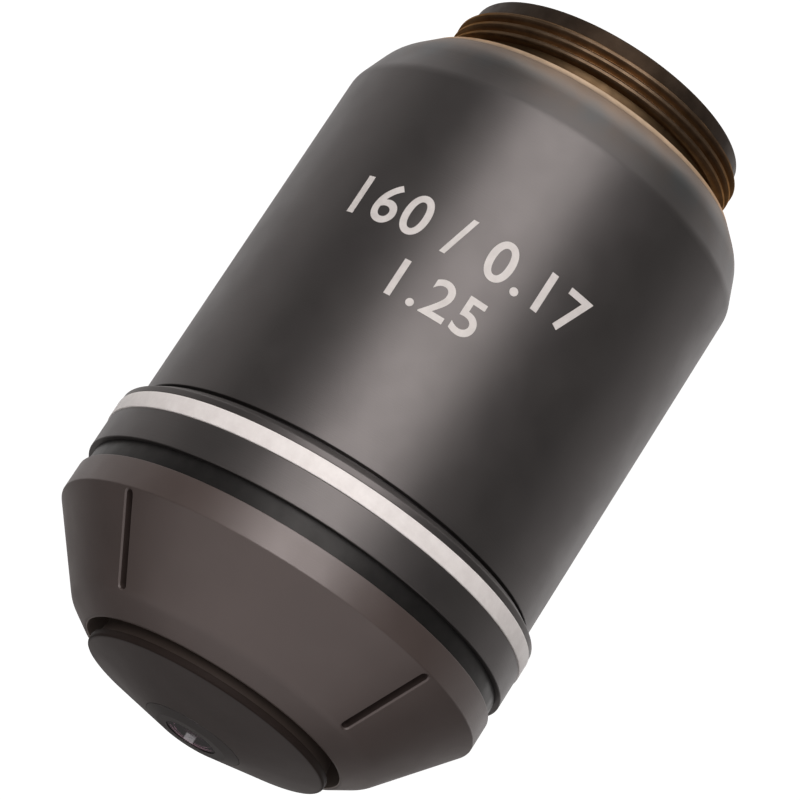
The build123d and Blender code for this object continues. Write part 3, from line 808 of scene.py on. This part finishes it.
def make_mount_barrel():
    """Thread, relief, shoulder rim and guide tube, with the guide screws' holes."""
    spring_z = SHOULDER_Z + SPRING_SEAT_DEPTH
    below = [
        (LEAD_R, THREAD_START_Z, 0),
        (LEAD_R, 0, LEAD_CHAMFER),
        (REAR_BORE_R, 0, SOFT_EDGE),
        (REAR_BORE_R, spring_z, FINE_EDGE),
        (GUIDE_BORE_R, spring_z, FINE_EDGE),
        (GUIDE_BORE_R, tube_high.z, FINE_EDGE),
        (MOUNT_TUBE_R, tube_high.z, FINE_EDGE),
        (MOUNT_TUBE_R, RIM_Z, 0),
        (RIM_R, RIM_Z, 0),
        (SHOULDER_R, SHOULDER_Z, SOFT_EDGE),
        (UNDERCUT_R, SHOULDER_Z, FINE_EDGE),
        (UNDERCUT_R, SHOULDER_Z + UNDERCUT_DEPTH, 0),
        (RELIEF_R, SHOULDER_Z + UNDERCUT_DEPTH, 0),
        (RELIEF_R, THREAD_END_Z, 0),
    ]
    shape = bmesh.new()
    rings = [ring(shape, r, z) for r, z in rounded(below)]
    for lower, upper in zip(rings, rings[1:]):
        join_rings(shape, lower, upper)
    cut_thread(shape)
    weld(shape)
    hole = bmesh.new()
    middle = (screw_low.z + screw_high.z) / 2
    place = Matrix.Translation((0, 0, middle * MM)) @ Matrix.Rotation(math.pi / 2, 4, "Y")
    bmesh.ops.create_cone(
        hole,
        cap_ends=True,
        segments=SCREW_HOLE_SEGMENTS,
        radius1=SCREW_HOLE_R * MM,
        radius2=SCREW_HOLE_R * MM,
        depth=3 * MOUNT_TUBE_R * MM,
        matrix=place,
    )
    mesh = cut(mesh_from("mount_barrel_turned", shape), [mesh_from("screw_hole", hole)])
    piece = add_mesh("mount_barrel_threaded", mesh, "housing", "bare_brass", "mount_barrel")
    return smooth(piece)


def make_body_sleeve():
    return turned(
        "body_sleeve_shell",
        [
            (SLEEVE_NECK_R, RIM_Z, 0),
            (RIM_R, RIM_Z, FINE_EDGE),
            (SHOULDER_CONE_R, SHOULDER_CONE_Z, SHOULDER_EDGE),
            (BODY_R, BODY_START_Z, BODY_EDGE),
            (BODY_R, BODY_END_Z, SOFT_EDGE),
            (SLEEVE_BORE_R, BODY_END_Z, FINE_EDGE),
            (SLEEVE_BORE_R, RIM_Z + SLEEVE_NECK_HEIGHT, FINE_EDGE),
            (SLEEVE_NECK_R, RIM_Z + SLEEVE_NECK_HEIGHT, FINE_EDGE),
        ],
        "housing",
        "black_coat",
        "body_sleeve",
    )


def make_rings():
    """Nose carrier with its grooves, and the two colour rings in them."""
    carrier_bore_r = MOUNT_TUBE_R + SPIGOT_GAP
    spigot_bore_r = SPIGOT_R + SPIGOT_GAP
    spigot_z = LEDGE_Z - SPIGOT_LENGTH
    turned(
        "nose_carrier_rings",
        [
            (carrier_bore_r, carrier_low.z, 0),
            (CARRIER_SKIRT_R, carrier_low.z, FINE_EDGE),
            (CARRIER_SKIRT_R, BODY_END_Z, 0),
            (SEAM_R, BODY_END_Z, 0),
            (SEAM_R, FLANGE_Z, 0),
            (FLANGE_CHAMFER_R, FLANGE_Z, FINE_EDGE),
            (FLANGE_R, FLANGE_Z + FLANGE_CHAMFER_HEIGHT, SOFT_EDGE),
            (FLANGE_R, white_low.z, SOFT_EDGE),
            (WHITE_SEAT_R, white_low.z, 0),
            (WHITE_SEAT_R, white_high.z, 0),
            (FLANGE_R, white_high.z, SOFT_EDGE),
            (FLANGE_R, LEDGE_Z, SOFT_EDGE),
            (spigot_bore_r, LEDGE_Z, 0),
            (spigot_bore_r, spigot_z, 0),
            (GUIDE_BORE_R, spigot_z, FINE_EDGE),
            (GUIDE_BORE_R, tube_high.z, FINE_EDGE),
            (carrier_bore_r, tube_high.z, 0),
        ],
        "housing",
        "black_coat",
        "nose_carrier",
    )
    turned(
        "white_ring",
        [
            (WHITE_SEAT_R, white_low.z, 0),
            (white_high.x, white_low.z, SOFT_EDGE),
            (white_high.x, white_high.z, SOFT_EDGE),
            (WHITE_SEAT_R, white_high.z, 0),
        ],
        "housing",
        "white_enamel",
        "white_code_ring",
    )
    turned(
        "immersion_ring",
        [
            (BLACK_SEAT_R, black_low.z, 0),
            (black_high.x, black_low.z, FINE_EDGE),
            (black_high.x, black_high.z, FINE_EDGE),
            (BLACK_SEAT_R, black_high.z, 0),
        ],
        "housing",
        "black_enamel",
        "immersion_code_ring",
    )


def slot_outline(width, length):
    """Points of a slot with round ends, across and along."""
    half = length / 2 - SLOT_WIDTH / 2
    points = []
    for end, start in ((1, 0), (-1, math.pi)):
        for step in range(SLOT_ARC_STEPS + 1):
            turn = start + math.pi * step / SLOT_ARC_STEPS
            points.append((math.cos(turn) * width / 2, end * half + math.sin(turn) * width / 2))
    return points


def slot_cutter(turn):
    """A slot's mill: straight down, a small radius at the floor and a flared mouth."""
    outward = Vector((math.cos(turn), math.sin(turn), 0))
    drop = BAND_R - CONE_END_R
    along = (Vector((0, 0, CONE_HEIGHT)) - outward * drop).normalized()
    normal = (outward * CONE_HEIGHT + Vector((0, 0, drop))).normalized()
    across = normal.cross(along)
    middle = outward * (BAND_R + CONE_END_R) / 2 + Vector((0, 0, (BAND_END_Z + CONE_END_Z) / 2))
    length = math.hypot(drop, CONE_HEIGHT) - 2 * SLOT_MARGIN
    levels = [
        (-SLOT_DEPTH, SLOT_WIDTH - 2 * FINE_EDGE),
        (FINE_EDGE - SLOT_DEPTH, SLOT_WIDTH),
        (-SLOT_FLARE, SLOT_WIDTH),
        (SLOT_DEPTH / 2, SLOT_WIDTH + SLOT_DEPTH + 2 * SLOT_FLARE),
    ]
    shape = bmesh.new()
    loops = []
    for level, width in levels:
        loop = []
        for x, y in slot_outline(width, length):
            loop.append(shape.verts.new((middle + normal * level + across * x + along * y) * MM))
        loops.append(loop)
    for lower, upper in zip(loops, loops[1:]):
        for i in range(len(lower)):
            k = (i + 1) % len(lower)
            shape.faces.new((lower[i], lower[k], upper[k], upper[i]))
    shape.faces.new(loops[0][::-1])
    shape.faces.new(loops[-1])
    return mesh_from("slot_mill", shape)


def make_nose_cone():
    mesh = turned_mesh(
        "nose_cone_turned",
        [
            (GUIDE_BORE_R, cone_low.z, FINE_EDGE),
            (SPIGOT_R, cone_low.z, FINE_EDGE),
            (SPIGOT_R, LEDGE_Z, 0),
            (BLACK_SEAT_R, LEDGE_Z, 0),
            (BLACK_SEAT_R, BAND_START_Z, 0),
            (BAND_R, BAND_START_Z, SOFT_EDGE),
            (BAND_R, BAND_END_Z, SOFT_EDGE),
            (CONE_END_R, CONE_END_Z, CONE_EDGE),
            (NOSE_RIM_R, cone_high.z, SOFT_EDGE),
            (NOSE_BORE_R, cone_high.z, SOFT_EDGE),
            (NOSE_BORE_R, LEDGE_Z, FINE_EDGE),
            (GUIDE_BORE_R, LEDGE_Z, 0),
        ],
    )
    mills = [slot_cutter(SLOT_AZIMUTH + i * 2 * math.pi / SLOT_COUNT) for i in range(SLOT_COUNT)]
    slotted = cut(mesh, mills)
    return smooth(add_mesh("nose_cone_slotted", slotted, "housing", "nose_coat", "nose_cone"))


def letter_mesh(text, height):
    """The flat outline of a row of figures, its height set and its middle at the origin."""
    curve = bpy.data.curves.new("figures", "FONT")
    curve.body = text
    curve.space_character = PRINT_SPACING
    curve.offset = PRINT_WEIGHT
    writing = bpy.data.objects.new("figures", curve)
    bpy.context.scene.collection.objects.link(writing)
    bpy.context.view_layer.update()
    flat = bpy.data.meshes.new_from_object(writing.evaluated_get(bpy.context.evaluated_depsgraph_get()))
    bpy.data.objects.remove(writing)
    shape = bmesh.new()
    shape.from_mesh(flat)
    bpy.data.meshes.remove(flat)
    low = Vector((min(v.co.x for v in shape.verts), min(v.co.y for v in shape.verts)))
    high = Vector((max(v.co.x for v in shape.verts), max(v.co.y for v in shape.verts)))
    scale = height / (high.y - low.y)
    for vertex in shape.verts:
        vertex.co = ((vertex.co.x - (low.x + high.x) / 2) * scale, (vertex.co.y - low.y) * scale, 0)
    return shape, (high.x - low.x) * scale


def make_print():
    """Rows of plain figures, each a thin closed layer of ink wrapped round the sleeve."""
    layer = bmesh.new()
    for text, height, distance in PRINT_ROWS:
        shape, width = letter_mesh(text, height)
        bmesh.ops.remove_doubles(shape, verts=shape.verts, dist=PRINT_WELD)
        for strip in range(int(width / PRINT_STRIP) + 1):
            place = Vector((strip * PRINT_STRIP - width / 2, 0, 0))
            everything = shape.verts[:] + shape.edges[:] + shape.faces[:]
            bmesh.ops.bisect_plane(shape, geom=everything, plane_co=place, plane_no=(1, 0, 0))
        sides = []
        for r in (BODY_R + PRINT_PROUD, BODY_R - PRINT_SINK):
            side = {}
            for vertex in shape.verts:
                turn = TOWARD_CAMERA - PRINT_MIDDLE - vertex.co.x / BODY_R
                side[vertex] = at(layer, r, SHOULDER_Z + distance - vertex.co.y, turn)
            sides.append(side)
        front, back = sides
        for face in shape.faces:
            layer.faces.new([front[v] for v in face.verts])
            layer.faces.new([back[v] for v in reversed(face.verts)])
        for edge in shape.edges:
            if len(edge.link_faces) == 1:
                a, b = edge.verts
                layer.faces.new((front[a], back[a], back[b], front[b]))
        shape.free()
    return add_mesh("printed_figures", mesh_from("printed_figures", layer), "housing", "white_enamel")


# Front group
def make_nose_cap():
    rise = CAP_CONE_DROP / (CAP_R - TIP_FLAT_R)
    hole_z = TIP_Z - (CAP_HOLE_R - TIP_FLAT_R) * rise
    shoulder_z = LEDGE_Z - SHIM_HEIGHT
    neck_z = shoulder_z + NECK_LENGTH
    skirt_z = CAP_BRIM_Z - CAP_RELIEF_HEIGHT
    face_z = TIP_Z - CAP_FACE_DEPTH
    return turned(
        "nose_cap_shell",
        [
            (CAP_HOLE_R, hole_z, FINE_EDGE),
            (CAP_R, CAP_EDGE_Z, CAP_EDGE),
            (CAP_R, CAP_BRIM_Z, FINE_EDGE),
            (CAP_FILLET_R, CAP_BRIM_Z, 0),
            (CAP_RELIEF_R, CAP_BRIM_Z - CAP_FILLET_HEIGHT, CAP_FILLET_HEIGHT / 2),
            (CAP_RELIEF_R, skirt_z, 0),
            (CAP_SKIRT_R, skirt_z, FINE_EDGE),
            (CAP_SKIRT_R, shoulder_z, FINE_EDGE),
            (NECK_R, shoulder_z, 0),
            (NECK_R, neck_z, 0),
            (BARREL_BORE_R, neck_z, 0),
            (BARREL_BORE_R, face_z, 0),
            (CAP_HOLE_R, face_z, 0),
        ],
        "front_group",
        "nose_coat",
        "nose_cap",
    )


def ball_arc(radius, centre_z, from_r, to_z, steps):
    """Points of a ball's profile from a radius in its upper half down to a height, as corners."""
    start = math.asin(min(1, from_r / radius))
    end = math.acos(max(-1, min(1, (to_z - centre_z) / radius)))
    points = []
    for step in range(steps + 1):
        turn = start + (end - start) * step / steps
        points.append((radius * math.sin(turn), centre_z + radius * math.cos(turn), 0))
    return points


def make_front_lens():
    """The lens that is more than half a ball, with its flat face just below the tip."""
    face_z = TIP_Z - LENS_RECESS
    rear_z = face_z - LENS_THICKNESS
    ball_z = rear_z + BALL_R
    face_r = math.sqrt(BALL_R**2 - (face_z - ball_z) ** 2)
    arc = ball_arc(BALL_R, ball_z, face_r, rear_z, BALL_STEPS)
    corners = [(0, face_z, 0), (face_r - FINE_EDGE, face_z, 0), *arc[1:-1], (0, rear_z, 0)]
    mesh = turned_mesh("front_lens_ground", corners)
    return smooth(add_mesh("front_lens_ground", mesh, "front_group", "front_glass", "front_lens"))


# Studio: pale floor, soft light, and the camera where the photograph was taken from
def make_floor():
    bpy.ops.mesh.primitive_plane_add(size=FLOOR_SIZE, location=(0, 0, FLOOR_Z))
    floor = bpy.context.object
    floor.name = "floor"
    material, tree, surface = shader("floor_paper")
    place = object_coordinate(tree)
    tint = blend_colours(tree, noise(tree, place, 40, 2), (0.90, 0.90, 0.90), (0.92, 0.92, 0.92))
    tree.links.new(tint, surface.inputs["Base Color"])
    surface.inputs["Roughness"].default_value = 0.9
    surface.inputs["Specular IOR Level"].default_value = 0.0
    surface.inputs["Emission Color"].default_value = (1, 1, 1, 1)
    surface.inputs["Emission Strength"].default_value = 1.0
    floor.data.materials.append(material)
    floor.visible_glossy = False
    floor.visible_diffuse = False
    floor.visible_shadow = False
    floor.visible_transmission = False


def softbox(name, azimuth, elevation, size, brightness, colour):
    """A rectangular area light that faces the middle of the object. Azimuth 0 is on the camera's side,
    and positive azimuths lie towards +X. Size is the width and height in metres."""
    turn = math.radians(azimuth) + CAMERA_AZIMUTH
    rise = math.radians(elevation)
    centre = Vector((0, 0, CAMERA_AIM_Z * MM))
    back = Vector((math.sin(turn) * math.cos(rise), -math.cos(turn) * math.cos(rise), math.sin(rise)))
    data = bpy.data.lights.new(name, "AREA")
    data.shape = "RECTANGLE"
    data.size, data.size_y = size
    data.energy = brightness * math.pi * size[0] * size[1]
    data.color = colour
    lamp = bpy.data.objects.new(name, data)
    bpy.context.scene.collection.objects.link(lamp)
    lamp.location = centre + back * LAMP_DISTANCE
    lamp.rotation_euler = (-back).to_track_quat("-Z", "Y").to_euler()
    lamp.visible_camera = False
    return lamp


def make_lights():
    world = bpy.data.worlds.new("studio")
    bpy.context.scene.world = world
    world.use_nodes = True
    sky = world.node_tree.nodes["Background"]
    sky.inputs["Color"].default_value = (*ROOM_COLOUR, 1)
    sky.inputs["Strength"].default_value = ROOM_BRIGHTNESS
    for lamp in LAMPS:
        softbox(*lamp)


def make_camera():
    tilt_cos, tilt_sin = math.cos(CAMERA_ELEVATION), math.sin(CAMERA_ELEVATION)
    toward = Vector((math.sin(CAMERA_AZIMUTH), -math.cos(CAMERA_AZIMUTH), 0))
    side = Vector((-math.cos(CAMERA_AZIMUTH), -math.sin(CAMERA_AZIMUTH), 0))
    down = Vector((0, 0, -1))
    forward = down * tilt_sin - toward * tilt_cos
    rise = down * tilt_cos + toward * tilt_sin
    right = side * math.cos(CAMERA_ROLL) + rise * math.sin(CAMERA_ROLL)
    up = rise * math.cos(CAMERA_ROLL) - side * math.sin(CAMERA_ROLL)
    aim = Vector((0, 0, CAMERA_AIM_Z))
    data = bpy.data.cameras.new("camera")
    data.sensor_width = SENSOR_WIDTH
    data.lens = FOCAL_LENGTH_PX / IMAGE_SIZE * SENSOR_WIDTH
    data.clip_start = 0.001
    camera = bpy.data.objects.new("camera", data)
    bpy.context.scene.collection.objects.link(camera)
    place = (aim - side * CAMERA_SIDE_SHIFT - forward * CAMERA_DISTANCE) * MM
    turn = Matrix((right, up, -forward)).transposed().to_4x4()
    camera.matrix_world = Matrix.Translation(place) @ turn
    bpy.context.scene.camera = camera


make_mount_barrel()
make_body_sleeve()
make_rings()
make_nose_cone()
make_print()
make_nose_cap()
make_front_lens()
make_floor()
make_lights()
make_camera()
bpy.context.scene.view_settings.view_transform = "Standard"
